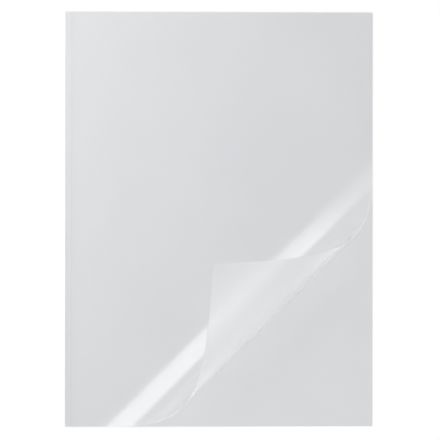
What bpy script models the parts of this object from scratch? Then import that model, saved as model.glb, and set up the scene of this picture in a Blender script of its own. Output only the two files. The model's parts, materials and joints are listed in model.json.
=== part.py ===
"""Document cover with a clear front leaf whose lower corner is curled back.

The closed cover lies on its back leaf. X runs across the page away from the spine,
Y runs up the page and Z is up. The origin is the middle of the back leaf's underside.
All sizes are in metres and all angles in radians.
"""
import math

import bmesh
import bpy
from mathutils import Vector

# Overall size of the closed cover, and of the film it is cut from
COVER_WIDTH = 0.220
COVER_HEIGHT = 0.297
FILM_THICKNESS = 0.0002

# Spine strip: leans in over the back leaf, from the rear fold's axis up to the front fold.
# The rear fold is rounded, so its axis lies this far outside the cover's edge
REAR_FOLD_ROUNDING = 0.00105
STRIP_RUN = 0.00535
STRIP_RISE = 0.0015

# Film left out on each side of a fold's axis, so that the films pass each other there
REAR_FOLD_RELIEF = 0.0012
FRONT_FOLD_RELIEF = 0.00015

# Gap between the two leaves along their free edges
FREE_EDGE_GAP = 0.0003

# Curl of the front leaf's lower corner: the film's length past the lift-off line,
# how far it turns on the way to its tip, and the direction of the roll's axis
CURL_LENGTH = 0.149
CURL_TURN = math.radians(153.4)
CURL_AXIS_ANGLE = math.radians(44.85)
CURL_FACETS = 32
STEPS_PER_FACET = 12

# Each material: colour, opacity and roughness
BACK_FILM = ((0.69, 0.71, 0.72), 1.0, 0.35)
SPINE_FILM = ((0.74, 0.76, 0.77), 1.0, 0.30)
CLEAR_FILM = ((0.80, 0.82, 0.83), 0.30, 0.08)

# Folds and slopes that follow from the sizes above
MID_FILM = FILM_THICKNESS / 2
BACK_WIDTH = COVER_WIDTH + REAR_FOLD_ROUNDING
REAR_FOLD = Vector((COVER_WIDTH / 2 - BACK_WIDTH, 0.0, MID_FILM))
FRONT_FOLD = REAR_FOLD + Vector((STRIP_RUN, 0.0, STRIP_RISE))
STRIP_SLOPE = math.atan2(STRIP_RISE, STRIP_RUN)
STRIP_WIDTH = math.hypot(STRIP_RUN, STRIP_RISE)
FRONT_RUN = COVER_WIDTH / 2 - FRONT_FOLD.x
FRONT_DROP = FRONT_FOLD.z - (FILM_THICKNESS + FREE_EDGE_GAP + MID_FILM)
FRONT_SLOPE = math.atan2(FRONT_DROP, FRONT_RUN)
FRONT_WIDTH = math.hypot(FRONT_RUN, FRONT_DROP)


def clear_scene():
    """Remove every object, so that a second run starts afresh."""
    for item in list(bpy.data.objects):
        bpy.data.objects.remove(item, do_unlink=True)


def film_material(name, look):
    """Make a plain plastic film material."""
    colour, opacity, roughness = look
    material = bpy.data.materials.new(name)
    material.use_nodes = True
    shader = material.node_tree.nodes["Principled BSDF"]
    shader.inputs["Base Color"].default_value = (*colour, 1.0)
    shader.inputs["Alpha"].default_value = opacity
    shader.inputs["Roughness"].default_value = roughness
    return material


def blank(left, right):
    """Return a flat cut of film, as one face, between two distances from its fold."""
    shape = bmesh.new()
    low = -COVER_HEIGHT / 2
    high = COVER_HEIGHT / 2
    outline = ((left, low), (right, low), (right, high), (left, high))
    shape.faces.new([shape.verts.new((x, y, 0.0)) for x, y in outline])
    return shape


def film_object(name, shape, look, place, slope=0.0):
    """Turn a film's middle surface into a film of full thickness, tilted about its fold."""
    mesh = bpy.data.meshes.new(name)
    shape.to_mesh(mesh)
    shape.free()
    mesh.materials.append(film_material(name, look))
    film = bpy.data.objects.new(name, mesh)
    film.location = place
    film.rotation_euler = (0.0, slope, 0.0)
    bpy.context.scene.collection.objects.link(film)
    thicken = film.modifiers.new("film thickness", "SOLIDIFY")
    thicken.thickness = FILM_THICKNESS
    thicken.offset = 0.0
    thicken.use_even_offset = True
    return film


def curl_section():
    """Return the roll's section as (distance along the sheet, height) at each facet line.

    The curvature is nil at the lift-off line, swells soon after it and fades out
    towards the tip, as it does in a springy film that is held back by its corner.
    """
    steps = CURL_FACETS * STEPS_PER_FACET
    share = [(step + 0.5) / steps for step in range(steps)]
    bend = [math.sqrt(u) * (1.0 - u) ** 1.5 for u in share]
    turn_per_bend = CURL_TURN / sum(bend)
    step_length = CURL_LENGTH / steps
    section = [(0.0, 0.0)]
    along = 0.0
    height = 0.0
    angle = 0.0
    for step in range(steps):
        turn = bend[step] * turn_per_bend
        along += step_length * math.cos(angle + turn / 2)
        height += step_length * math.sin(angle + turn / 2)
        angle += turn
        if (step + 1) % STEPS_PER_FACET == 0:
            section.append((along, height))
    return section


def curl_corner(shape):
    """Roll the lower free corner of the flat front leaf up and back."""
    axis = Vector((math.cos(CURL_AXIS_ANGLE), math.sin(CURL_AXIS_ANGLE), 0.0))
    outward = Vector((axis.y, -axis.x, 0.0))
    corner = Vector((FRONT_WIDTH, -COVER_HEIGHT / 2, 0.0))
    lift_off = corner - outward * CURL_LENGTH
    facet_length = CURL_LENGTH / CURL_FACETS
    for facet in range(CURL_FACETS):
        bmesh.ops.bisect_plane(
            shape,
            geom=shape.verts[:] + shape.edges[:] + shape.faces[:],
            dist=facet_length / 100,
            plane_co=lift_off + outward * facet_length * facet,
            plane_no=outward,
        )
    section = curl_section()
    for vert in shape.verts:
        past = (vert.co - lift_off).dot(outward)
        facet = round(past / facet_length)
        if facet > 0:
            along, height = section[facet]
            vert.co += outward * (along - past)
            vert.co.z += height


def make_back_leaf():
    """The back leaf lies flat and carries the rest."""
    shape = blank(REAR_FOLD_RELIEF, BACK_WIDTH)
    return film_object("back_leaf", shape, BACK_FILM, REAR_FOLD)


def make_spine_strip():
    """The spine strip runs between the two folds."""
    shape = blank(REAR_FOLD_RELIEF, STRIP_WIDTH - FRONT_FOLD_RELIEF)
    return film_object("spine_strip", shape, SPINE_FILM, REAR_FOLD, -STRIP_SLOPE)


def make_front_leaf():
    """The front leaf slopes down from the spine to rest along its free edge."""
    shape = blank(FRONT_FOLD_RELIEF, FRONT_WIDTH)
    curl_corner(shape)
    return film_object("front_leaf", shape, CLEAR_FILM, FRONT_FOLD, FRONT_SLOPE)


clear_scene()
make_back_leaf()
make_spine_strip()
make_front_leaf()
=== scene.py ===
"""Looks of a document cover: a pale back leaf, a narrow spine strip and a clear front leaf.

The front leaf's lower free corner is curled back. Lengths are in metres, in the frame of the
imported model: X runs across the page away from the spine, Y up the page and Z is up.
"""
import json
import math

import bmesh
import bpy
from mathutils import Matrix, Vector


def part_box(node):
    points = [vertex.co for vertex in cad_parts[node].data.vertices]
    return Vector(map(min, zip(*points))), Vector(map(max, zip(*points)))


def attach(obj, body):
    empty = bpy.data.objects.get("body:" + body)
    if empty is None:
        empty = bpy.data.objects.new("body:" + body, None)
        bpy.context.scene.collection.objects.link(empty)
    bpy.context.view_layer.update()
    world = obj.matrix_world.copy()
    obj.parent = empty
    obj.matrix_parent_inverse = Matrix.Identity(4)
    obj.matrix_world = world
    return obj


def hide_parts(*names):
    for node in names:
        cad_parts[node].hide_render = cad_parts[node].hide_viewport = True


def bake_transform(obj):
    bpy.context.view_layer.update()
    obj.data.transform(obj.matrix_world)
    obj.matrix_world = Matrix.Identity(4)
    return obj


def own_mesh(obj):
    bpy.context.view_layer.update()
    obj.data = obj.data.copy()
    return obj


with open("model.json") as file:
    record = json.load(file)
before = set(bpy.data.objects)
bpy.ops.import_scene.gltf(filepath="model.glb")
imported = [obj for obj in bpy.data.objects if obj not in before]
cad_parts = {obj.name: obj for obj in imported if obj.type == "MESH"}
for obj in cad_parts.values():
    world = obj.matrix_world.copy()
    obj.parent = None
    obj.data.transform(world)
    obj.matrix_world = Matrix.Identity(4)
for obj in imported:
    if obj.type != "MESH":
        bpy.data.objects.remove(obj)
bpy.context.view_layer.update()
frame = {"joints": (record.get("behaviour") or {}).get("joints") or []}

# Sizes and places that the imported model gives
FOLDS = {joint["name"]: Vector(joint["pos_m"]) for joint in frame["joints"]}
REAR_FOLD = FOLDS["rear_fold"]
FRONT_FOLD = FOLDS["front_fold"]
BACK_LOW, BACK_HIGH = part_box("back_leaf")
FRONT_LOW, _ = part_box("front_leaf")
FILM = BACK_HIGH.z - BACK_LOW.z
PAGE_LOW = BACK_LOW.y
PAGE_HIGH = BACK_HIGH.y
PAGE_HEIGHT = PAGE_HIGH - PAGE_LOW

# Film left out on each side of a fold's axis, which a web closes
REAR_RELIEF = BACK_LOW.x - REAR_FOLD.x
FRONT_RELIEF = 0.00015

# Spine strip, from the rear fold up to the front fold
STRIP = FRONT_FOLD - REAR_FOLD
STRIP_WIDTH = STRIP.length
STRIP_CROWN = 0.00012
STRIP_CUTS = 12

# Front leaf, from the front fold down to its free edge
FREE_EDGE = Vector((BACK_HIGH.x, 0.0, FRONT_LOW.z + FILM / 2))
FRONT_WIDTH = (FREE_EDGE - FRONT_FOLD).length
FRONT_SLOPE = math.atan2(FRONT_FOLD.z - FREE_EDGE.z, FREE_EDGE.x - FRONT_FOLD.x)

# Curl of the front leaf's lower corner: the film's length past the lift-off line,
# how far it turns on the way to its tip, and the direction of the roll's axis
CURL_LENGTH = 0.149
CURL_TURN = math.radians(153.4)
CURL_AXIS_ANGLE = math.radians(44.85)
CURL_RULINGS = 192
STEPS_PER_RULING = 4

# Back leaf's slight unevenness: its height, its wavelengths and phases across and along the page,
# the run over which it sets in, and the cells that show it
BACK_WAVE = 0.00005
BACK_WAVE_ACROSS = 0.083
BACK_WAVE_ALONG = 0.117
BACK_PHASE_ACROSS = 0.6
BACK_PHASE_ALONG = 1.1
BACK_WAVE_ONSET = 0.030
BACK_CELLS_ACROSS = 44
BACK_CELLS_ALONG = 60

# Cuts along the arc of a fold, and the angle past which an edge is shaded as sharp
WEB_CUTS = 16
SHARP_ANGLE = math.radians(35)

# Back leaf's looks: its darker and lighter tone, the sizes in millimetres of its mottling, specks,
# uneven sheen and grain, the share of the mottling in its tone, the range of its roughness, and its
# grain's strength and depth
BACK_TONES = ((0.675, 0.685, 0.700), (0.702, 0.711, 0.723))
MOTTLE_SIZE = 55.0
SPECK_SIZE = 0.6
BACK_SHEEN_SIZE = 7.0
GRAIN_SIZE = 0.35
MOTTLE_SHARE = 0.75
BACK_ROUGHNESS = (0.34, 0.44)
GRAIN_STRENGTH = 0.25
GRAIN_DEPTH = 0.00001

# Clear film's looks: the darker and lighter tone of its haze, the sizes in millimetres of its
# clouding, of that tone, of its marks' width and length, of its ripple and of its uneven sheen,
# the noise levels at which a mark sets in and is full, the ripple's depth, and the share by which
# haze and sheen vary
HAZE_TONES = ((0.88, 0.90, 0.91), (0.92, 0.935, 0.94))
CLOUD_SIZE = 40.0
HAZE_TONE_SIZE = 30.0
MARK_WIDTH = 0.25
MARK_LENGTH = 60.0
RIPPLE_SIZE = 14.0
FILM_SHEEN_SIZE = 20.0
MARK_START = 0.66
MARK_FULL = 0.74
RIPPLE_DEPTH = 0.00002
VARIATION = 0.15

# Clear film: its index, its roughness for light that passes, the share that it mirrors edge on,
# and the power by which that share sets in towards edge on
FILM_IOR = 1.45
FILM_BLUR = 0.6
EDGE_ON_MIRROR = 0.90
MIRROR_POWER = 4.0

# Tint, haze, fine marks, roughness and head-on mirror share of the front leaf, of the spine strip
# and of the scored film at the folds
FRONT_FINISH = ((0.990, 0.992, 0.993, 1.0), 0.02, 0.012, 0.20, 0.065)
SPINE_FINISH = ((0.965, 0.967, 0.968, 1.0), 0.04, 0.06, 0.50, 0.025)
# The scored film's darker tint is partly the crease's own mark and partly painted shade in the
# folds
SCORE_FINISH_AND_SHADE = ((0.880, 0.882, 0.883, 1.0), 0.04, 0.06, 0.50, 0.025)

# Camera: its distance, its tilt about X, Y and Z, its aim off the cover's middle, and its scale
PHOTO_SIDE = 440
CAMERA_DISTANCE = 1.5
CAMERA_TILT = (math.radians(-0.35), math.radians(1.64), math.radians(-0.06))
CAMERA_AIM = (0.0006, -0.0007)
PIXELS_PER_METRE = 1394.9
SENSOR = 36.0

# Light: two soft boxes and a surround that is dimmer overhead. Each box has its bearing and
# elevation and its lean in degrees, its distance, width and height in metres, and its radiance
SOFT_BOXES = {
    "key": (152.0, 43.5, -16.0, 0.95, 0.69, 0.75, 3.25),
    "fill": (-45.0, 36.0, 0.0, 1.20, 0.80, 0.80, 0.6),
}
SURROUND_OVERHEAD = 0.77
FLOOR_SIDE = 6.0
FLOOR_DROP = 0.0001
FLOOR_COLOUR = (0.86, 0.86, 0.86, 1.0)

# Floor's glow in the background: its strength, and the run towards the key over which it fades
FLOOR_GLOW = 0.19
GLOW_START = -0.15
GLOW_END = 0.25

# Inputs and output of a node that mixes two colours
MIX_DARK = 6
MIX_LIGHT = 7
MIX_RESULT = 2


# Node helpers

def node(tree, kind, inputs=(), **settings):
    """Add a node, set its properties, and set or link its inputs, given by name or index."""
    made = tree.nodes.new(kind)
    for name, value in settings.items():
        setattr(made, name, value)
    for key, value in dict(inputs).items():
        if isinstance(value, bpy.types.NodeSocket):
            tree.links.new(value, made.inputs[key])
        else:
            made.inputs[key].default_value = value
    return made


def empty_material(name):
    """Make a material with an empty node tree."""
    material = bpy.data.materials.new(name)
    material.use_nodes = True
    material.node_tree.nodes.clear()
    return material


def show(tree, surface):
    """Link a shader to the surface output."""
    node(tree, "ShaderNodeOutputMaterial", {"Surface": surface})


def sheet_place(tree, across=1.0, along=1.0):
    """Place on the flat sheet in millimetres, stretched by a factor each way."""
    place = node(tree, "ShaderNodeUVMap", uv_map="sheet")
    millimetres = PAGE_HEIGHT * 1000
    scale = (millimetres / across, millimetres / along, 1.0)
    return node(
        tree,
        "ShaderNodeVectorMath",
        {0: place.outputs["UV"], 1: scale},
        operation="MULTIPLY",
    ).outputs[0]


def noise(tree, size, detail=2.0, along=None):
    """Noise with features of that size in millimetres, or longer along the page."""
    place = sheet_place(tree, size, along or size)
    made = node(tree, "ShaderNodeTexNoise", {"Vector": place, "Scale": 1.0, "Detail": detail})
    return made.outputs[0]


def spread(tree, value, low, high, start=0.3, end=0.7):
    """Map a value from start and end to low and high, without going past them."""
    inputs = {"Value": value, "From Min": start, "From Max": end, "To Min": low, "To Max": high}
    return node(tree, "ShaderNodeMapRange", inputs).outputs[0]


def tint(tree, factor, tones):
    """Mix a darker and a lighter tone, by the share of the lighter one."""
    dark, light = tones
    inputs = {"Factor": factor, MIX_DARK: (*dark, 1.0), MIX_LIGHT: (*light, 1.0)}
    return node(tree, "ShaderNodeMix", inputs, data_type="RGBA").outputs[MIX_RESULT]


def vary(tree, value, level):
    """Turn noise into a level that varies a little either way."""
    return spread(tree, value, level * (1.0 - VARIATION), level * (1.0 + VARIATION))


def mixed(tree, share, first, second):
    """Mix two shaders, by the share of the second."""
    return node(tree, "ShaderNodeMixShader", {0: share, 1: first, 2: second}).outputs[0]


def maths(tree, operation, *values):
    """Work out one number from others."""
    return node(tree, "ShaderNodeMath", dict(enumerate(values)), operation=operation).outputs[0]


# Materials

def back_material():
    """Pale satin leaf: soft mottling, fine grain and an uneven sheen."""
    material = empty_material("back_film")
    tree = material.node_tree
    mottle = spread(tree, noise(tree, MOTTLE_SIZE, detail=3.0), 0.0, MOTTLE_SHARE)
    speck = spread(tree, noise(tree, SPECK_SIZE), 0.0, 1.0 - MOTTLE_SHARE)
    colour = tint(tree, maths(tree, "ADD", mottle, speck), BACK_TONES)
    sheen = spread(tree, noise(tree, BACK_SHEEN_SIZE, detail=4.0), *BACK_ROUGHNESS)
    height = noise(tree, GRAIN_SIZE, detail=3.0)
    bump = {"Height": height, "Strength": GRAIN_STRENGTH, "Distance": GRAIN_DEPTH}
    grain = node(tree, "ShaderNodeBump", bump).outputs[0]
    satin = {"Base Color": colour, "Roughness": sheen, "Normal": grain}
    show(tree, node(tree, "ShaderNodeBsdfPrincipled", satin).outputs[0])
    return material


def lamp_or_bounce(tree):
    """One for shadow rays and diffuse rays, which light what lies under the film."""
    rays = node(tree, "ShaderNodeLightPath").outputs
    return maths(tree, "MAXIMUM", rays["Is Shadow Ray"], rays["Is Diffuse Ray"])


def film_material(name, tone, haze, scratch, shine, head_on):
    """Clear film: uneven haze, fine marks along the page, a faint ripple and a mirror sheen.

    Light is bent and spread where it enters, and bent back where it leaves. Light that would be
    trapped in the film goes straight on, as lamp light does.
    """
    material = empty_material(name)
    tree = material.node_tree
    facing = node(tree, "ShaderNodeLayerWeight", {"Blend": 0.5}).outputs["Facing"]
    direct = lamp_or_bounce(tree)
    straight = node(tree, "ShaderNodeBsdfTransparent", {"Color": tone}).outputs[0]

    refraction = {"Color": tone, "IOR": FILM_IOR, "Roughness": FILM_BLUR}
    bent = node(tree, "ShaderNodeBsdfRefraction", refraction).outputs[0]
    entering = mixed(tree, direct, bent, straight)
    cloud = vary(tree, noise(tree, CLOUD_SIZE, detail=3.0), haze)
    streaks = noise(tree, MARK_WIDTH, detail=1.0, along=MARK_LENGTH)
    marks = spread(tree, streaks, 0.0, scratch, MARK_START, MARK_FULL)
    milk = tint(tree, noise(tree, HAZE_TONE_SIZE), HAZE_TONES)
    milky = node(tree, "ShaderNodeBsdfDiffuse", {"Color": milk}).outputs[0]
    hazy = mixed(tree, maths(tree, "ADD", cloud, marks), entering, milky)

    height = noise(tree, RIPPLE_SIZE, detail=1.0)
    bump = {"Height": height, "Strength": 1.0, "Distance": RIPPLE_DEPTH}
    ripple = node(tree, "ShaderNodeBump", bump).outputs[0]
    sheen = vary(tree, noise(tree, FILM_SHEEN_SIZE), shine)
    glossy = {"Color": (1.0, 1.0, 1.0, 1.0), "Roughness": sheen, "Normal": ripple}
    gloss = node(tree, "ShaderNodeBsdfGlossy", glossy).outputs[0]
    grazing = maths(tree, "POWER", facing, MIRROR_POWER)
    mirror = maths(tree, "MULTIPLY_ADD", grazing, EDGE_ON_MIRROR - head_on, head_on)
    outside = mixed(tree, mirror, hazy, gloss)

    bent_back = node(tree, "ShaderNodeBsdfRefraction", {"IOR": FILM_IOR, "Roughness": 0.0})
    trapped = maths(tree, "GREATER_THAN", facing, 1.0 - math.sqrt(1.0 - FILM_IOR ** -2))
    inside = mixed(tree, maths(tree, "MAXIMUM", direct, trapped), bent_back.outputs[0], straight)

    leaving = node(tree, "ShaderNodeNewGeometry").outputs["Backfacing"]
    show(tree, mixed(tree, leaving, outside, inside))
    return material


# Films

def thick_film(name, shape, material):
    """Turn a film's middle surface into a closed film of full thickness."""
    middle = bpy.data.meshes.new(name)
    shape.to_mesh(middle)
    shape.free()
    middle.materials.append(material)
    film = bpy.data.objects.new(name, middle)
    bpy.context.scene.collection.objects.link(film)
    thicken = film.modifiers.new("film thickness", "SOLIDIFY")
    thicken.thickness = FILM
    thicken.offset = 0.0
    thicken.use_even_offset = True
    evaluated = film.evaluated_get(bpy.context.evaluated_depsgraph_get())
    film.data = bpy.data.meshes.new_from_object(evaluated)
    film.modifiers.clear()
    film.data.name = name
    film.data.shade_smooth()
    film.data.set_sharp_from_angle(angle=SHARP_ANGLE)
    return film


def lay_out(shape, flat_place):
    """Store each corner's place on the flat sheet, as a share of the page's height."""
    layer = shape.loops.layers.uv.new("sheet")
    for face in shape.faces:
        for loop in face.loops:
            loop[layer].uv = flat_place(loop.vert) / PAGE_HEIGHT


def swept_film(name, section, material, rows=1, lift=None):
    """Sweep a section, a list of (distance across the sheet, x, z), up the page."""
    shape = bmesh.new()
    flat = {}
    lines = []
    for row in range(rows + 1):
        y = PAGE_LOW + PAGE_HEIGHT * row / rows
        line = []
        for across, x, z in section:
            vert = shape.verts.new((x, y, z + (lift(x, y) if lift else 0.0)))
            flat[vert] = Vector((across, y - PAGE_LOW))
            line.append(vert)
        lines.append(line)
    for low, high in zip(lines, lines[1:]):
        for left in range(len(section) - 1):
            shape.faces.new((low[left], low[left + 1], high[left + 1], high[left]))
    lay_out(shape, flat.get)
    return thick_film(name, shape, material)


def back_lift(x, y):
    """The back leaf's unevenness, which sets in away from the spine."""
    onset = min(1.0, (x - BACK_LOW.x) / BACK_WAVE_ONSET)
    across = math.sin(2 * math.pi * x / BACK_WAVE_ACROSS + BACK_PHASE_ACROSS)
    along = math.sin(2 * math.pi * y / BACK_WAVE_ALONG + BACK_PHASE_ALONG)
    return BACK_WAVE * onset * onset * (2.0 + across + along) / 2


def make_back_film(material):
    """The back leaf lies on the floor."""
    width = BACK_HIGH.x - BACK_LOW.x
    section = []
    for cell in range(BACK_CELLS_ACROSS + 1):
        x = BACK_LOW.x + width * cell / BACK_CELLS_ACROSS
        section.append((x - BACK_LOW.x, x, REAR_FOLD.z))
    film = swept_film("back_film", section, material, BACK_CELLS_ALONG, back_lift)
    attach(film, "back")
    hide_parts("back_leaf")


def make_spine_film(material):
    """The spine strip bows out a little between the two folds."""
    start = REAR_RELIEF
    run = STRIP_WIDTH - FRONT_RELIEF - start
    along = STRIP.normalized()
    outward = Vector((-along.z, 0.0, along.x))
    section = []
    for cut in range(STRIP_CUTS + 1):
        share = cut / STRIP_CUTS
        bow = STRIP_CROWN * math.sin(math.pi * share) ** 2
        point = REAR_FOLD + along * (start + run * share) + outward * bow
        section.append((start + run * share, point.x, point.z))
    film = swept_film("spine_film", section, material)
    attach(film, "spine")
    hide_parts("spine_strip")


def fold_web(name, fold, arriving, leaving, relief, material):
    """Join two films round a fold with an arc that is tangent to both of them."""
    turn = arriving.angle(leaving)
    radius = relief / math.tan(turn / 2)
    start = fold - arriving * relief
    side = (leaving - arriving * arriving.dot(leaving)).normalized()
    section = []
    for cut in range(WEB_CUTS + 1):
        angle = turn * cut / WEB_CUTS
        point = start + arriving * radius * math.sin(angle) + side * radius * (1 - math.cos(angle))
        section.append((radius * angle, point.x, point.z))
    return swept_film(name, section, material)


def make_webs(material):
    """The scored film at the rear and front folds. Its darker tint is partly the crease's mark,
    partly painted shade.
    """
    up_strip = STRIP.normalized()
    down_leaf = (FREE_EDGE - FRONT_FOLD).normalized()
    towards_spine = Vector((-1.0, 0.0, 0.0))
    rear = fold_web("rear_fold_web", REAR_FOLD, towards_spine, up_strip, REAR_RELIEF, material)
    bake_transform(rear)
    front = fold_web("front_fold_web", FRONT_FOLD, up_strip, down_leaf, FRONT_RELIEF, material)
    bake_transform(front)


def curl_section():
    """Return the roll's section as (distance along the sheet, height) at each ruling.

    The curvature is nil at the lift-off line, swells soon after it and fades out
    towards the tip, as it does in a springy film that is held back by its corner.
    """
    steps = CURL_RULINGS * STEPS_PER_RULING
    share = [(step + 0.5) / steps for step in range(steps)]
    bend = [math.sqrt(u) * (1.0 - u) ** 1.5 for u in share]
    turn_per_bend = CURL_TURN / sum(bend)
    step_length = CURL_LENGTH / steps
    section = [(0.0, 0.0)]
    along = 0.0
    height = 0.0
    angle = 0.0
    for step in range(steps):
        turn = bend[step] * turn_per_bend
        along += step_length * math.cos(angle + turn / 2)
        height += step_length * math.sin(angle + turn / 2)
        angle += turn
        if (step + 1) % STEPS_PER_RULING == 0:
            section.append((along, height))
    return section


def curl_corner(shape):
    """Cut the flat front leaf along the curl's rulings, and roll its corner up and back."""
    axis = Vector((math.cos(CURL_AXIS_ANGLE), math.sin(CURL_AXIS_ANGLE), 0.0))
    outward = Vector((axis.y, -axis.x, 0.0))
    corner = Vector((FRONT_WIDTH, PAGE_LOW, 0.0))
    lift_off = corner - outward * CURL_LENGTH
    spacing = CURL_LENGTH / CURL_RULINGS
    for ruling in range(CURL_RULINGS):
        bmesh.ops.bisect_plane(
            shape,
            geom=shape.verts[:] + shape.edges[:] + shape.faces[:],
            dist=spacing / 100,
            plane_co=lift_off + outward * spacing * ruling,
            plane_no=outward,
        )
    lay_out(shape, lambda vert: vert.co.xy - Vector((0.0, PAGE_LOW)))
    section = curl_section()
    for vert in shape.verts:
        past = (vert.co - lift_off).dot(outward)
        ruling = round(past / spacing)
        if ruling > 0:
            along, height = section[ruling]
            vert.co += outward * (along - past)
            vert.co.z += height


def make_front_film(material):
    """The front leaf slopes down to its free edge, and its lower corner is curled back."""
    shape = bmesh.new()
    outline = (
        (FRONT_RELIEF, PAGE_LOW),
        (FRONT_WIDTH, PAGE_LOW),
        (FRONT_WIDTH, PAGE_HIGH),
        (FRONT_RELIEF, PAGE_HIGH),
    )
    shape.faces.new([shape.verts.new((x, y, 0.0)) for x, y in outline])
    curl_corner(shape)
    tilt = Matrix.Rotation(FRONT_SLOPE, 4, "Y")
    shape.transform(Matrix.Translation(FRONT_FOLD) @ tilt)
    film = thick_film("front_film", shape, material)
    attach(film, "front")
    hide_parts("front_leaf")
    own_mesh(film)


# Studio

def seen_plainly(tree):
    """One for the rays that show the background: camera, glossy and transmission rays."""
    rays = node(tree, "ShaderNodeLightPath").outputs
    mirrored = maths(tree, "MAXIMUM", rays["Is Glossy Ray"], rays["Is Transmission Ray"])
    return maths(tree, "MAXIMUM", rays["Is Camera Ray"], mirrored)


def make_floor():
    """A pale floor that shows white and keeps the shadow. Its glow fades towards the key."""
    shape = bmesh.new()
    bmesh.ops.create_grid(shape, x_segments=1, y_segments=1, size=FLOOR_SIDE / 2)
    mesh = bpy.data.meshes.new("floor")
    shape.to_mesh(mesh)
    shape.free()
    material = empty_material("floor")
    tree = material.node_tree
    pale = node(tree, "ShaderNodeBsdfDiffuse", {"Color": FLOOR_COLOUR})
    bearing = math.radians(SOFT_BOXES["key"][0])
    place = node(tree, "ShaderNodeTexCoord").outputs["Object"]
    towards_key = node(
        tree,
        "ShaderNodeVectorMath",
        {0: place, 1: (math.cos(bearing), math.sin(bearing), 0.0)},
        operation="DOT_PRODUCT",
    ).outputs["Value"]
    level = spread(tree, towards_key, FLOOR_GLOW, 0.0, GLOW_START, GLOW_END)
    glow = node(
        tree,
        "ShaderNodeEmission",
        {"Strength": maths(tree, "MULTIPLY", seen_plainly(tree), level)},
    )
    shaders = {0: pale.outputs[0], 1: glow.outputs[0]}
    show(tree, node(tree, "ShaderNodeAddShader", shaders).outputs[0])
    mesh.materials.append(material)
    floor = bpy.data.objects.new("floor", mesh)
    floor.location.z = -FLOOR_DROP
    bpy.context.scene.collection.objects.link(floor)


def make_world():
    """A surround that is white at floor level and dim overhead."""
    world = bpy.data.worlds.new("surround")
    world.use_nodes = True
    tree = world.node_tree
    tree.nodes.clear()
    direction = node(tree, "ShaderNodeTexCoord").outputs["Generated"]
    up = node(tree, "ShaderNodeSeparateXYZ", {0: direction}).outputs["Z"]
    level = spread(tree, maths(tree, "MULTIPLY", up, up), 1.0, 0.0, 0.0, 1.0)
    whiteness = maths(tree, "MULTIPLY", level, level)
    strength = spread(tree, whiteness, SURROUND_OVERHEAD, 1.0, 0.0, 1.0)
    background = node(tree, "ShaderNodeBackground", {"Strength": strength})
    node(tree, "ShaderNodeOutputWorld", {"Surface": background.outputs[0]})
    bpy.context.scene.world = world


def make_soft_box(name, bearing, elevation, lean, distance, width, height, radiance):
    """A soft box that faces the cover."""
    lamp = bpy.data.lights.new(name, "AREA")
    lamp.shape = "RECTANGLE"
    lamp.size = width
    lamp.size_y = height
    lamp.energy = radiance * math.pi * width * height
    box = bpy.data.objects.new(name, lamp)
    level = math.cos(math.radians(elevation))
    towards = Vector(
        (
            math.cos(math.radians(bearing)) * level,
            math.sin(math.radians(bearing)) * level,
            math.sin(math.radians(elevation)),
        )
    )
    box.location = towards * distance
    upright = towards.to_track_quat("Z", "Y").to_matrix()
    box.rotation_euler = (upright @ Matrix.Rotation(math.radians(lean), 3, "Z")).to_euler()
    bpy.context.scene.collection.objects.link(box)


def make_camera():
    """A long lens above the cover, tilted a little to the left."""
    about_x, about_y, about_z = CAMERA_TILT
    tilt = (
        Matrix.Rotation(about_z, 4, "Z")
        @ Matrix.Rotation(about_y, 4, "Y")
        @ Matrix.Rotation(about_x, 4, "X")
    )
    lens = bpy.data.cameras.new("camera")
    lens.sensor_width = SENSOR
    lens.lens = PIXELS_PER_METRE * CAMERA_DISTANCE * SENSOR / PHOTO_SIDE
    camera = bpy.data.objects.new("camera", lens)
    camera.matrix_world = tilt.transposed() @ Matrix.Translation((*CAMERA_AIM, CAMERA_DISTANCE))
    bpy.context.scene.collection.objects.link(camera)
    bpy.context.scene.camera = camera


make_camera()
make_world()
for name, values in SOFT_BOXES.items():
    make_soft_box(name, *values)
make_floor()

make_back_film(back_material())
make_spine_film(film_material("spine_film", *SPINE_FINISH))
# Scored film at the folds, tinted darker: partly its own mark, partly painted shade in the crease
make_webs(film_material("scored_film", *SCORE_FINISH_AND_SHADE))
make_front_film(film_material("clear_film", *FRONT_FINISH))

bpy.context.scene.view_settings.view_transform = "Standard"
